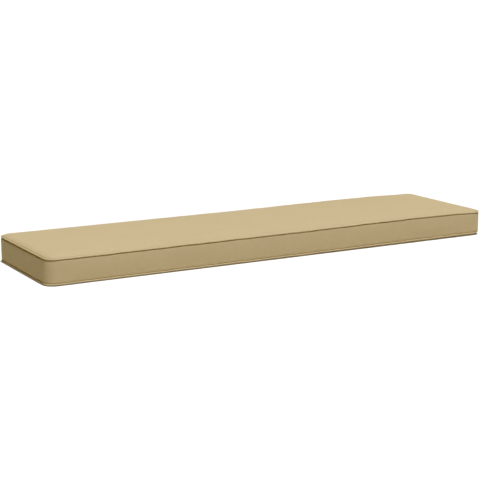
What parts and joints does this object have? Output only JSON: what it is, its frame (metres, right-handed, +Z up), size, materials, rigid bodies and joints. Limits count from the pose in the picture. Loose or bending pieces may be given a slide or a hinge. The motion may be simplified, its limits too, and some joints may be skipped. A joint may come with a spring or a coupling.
{
  "type": "bench cushion",
  "caption": "Long box-edge bench cushion with rounded corners, a lightly crowned top, a boxing strip and welt piping in both seams.",
  "frame": {"origin": "on the surface the cushion rests on, under the middle of its bounding box", "axes": "+X along the cushion's length, +Y across it towards the back, +Z up through its thickness"},
  "size_m": [1.5296, 0.3994, 0.0869],
  "materials": {
    "cover_fabric": "matt plain-woven outdoor canvas, sand beige",
    "piping_fabric": "the same canvas cut on the bias and wrapped round a cord"
  },
  "bodies": {
    "root": {"cushion": "cover_fabric", "top_piping": "piping_fabric", "bottom_piping": "piping_fabric"}
  },
  "joints": []
}
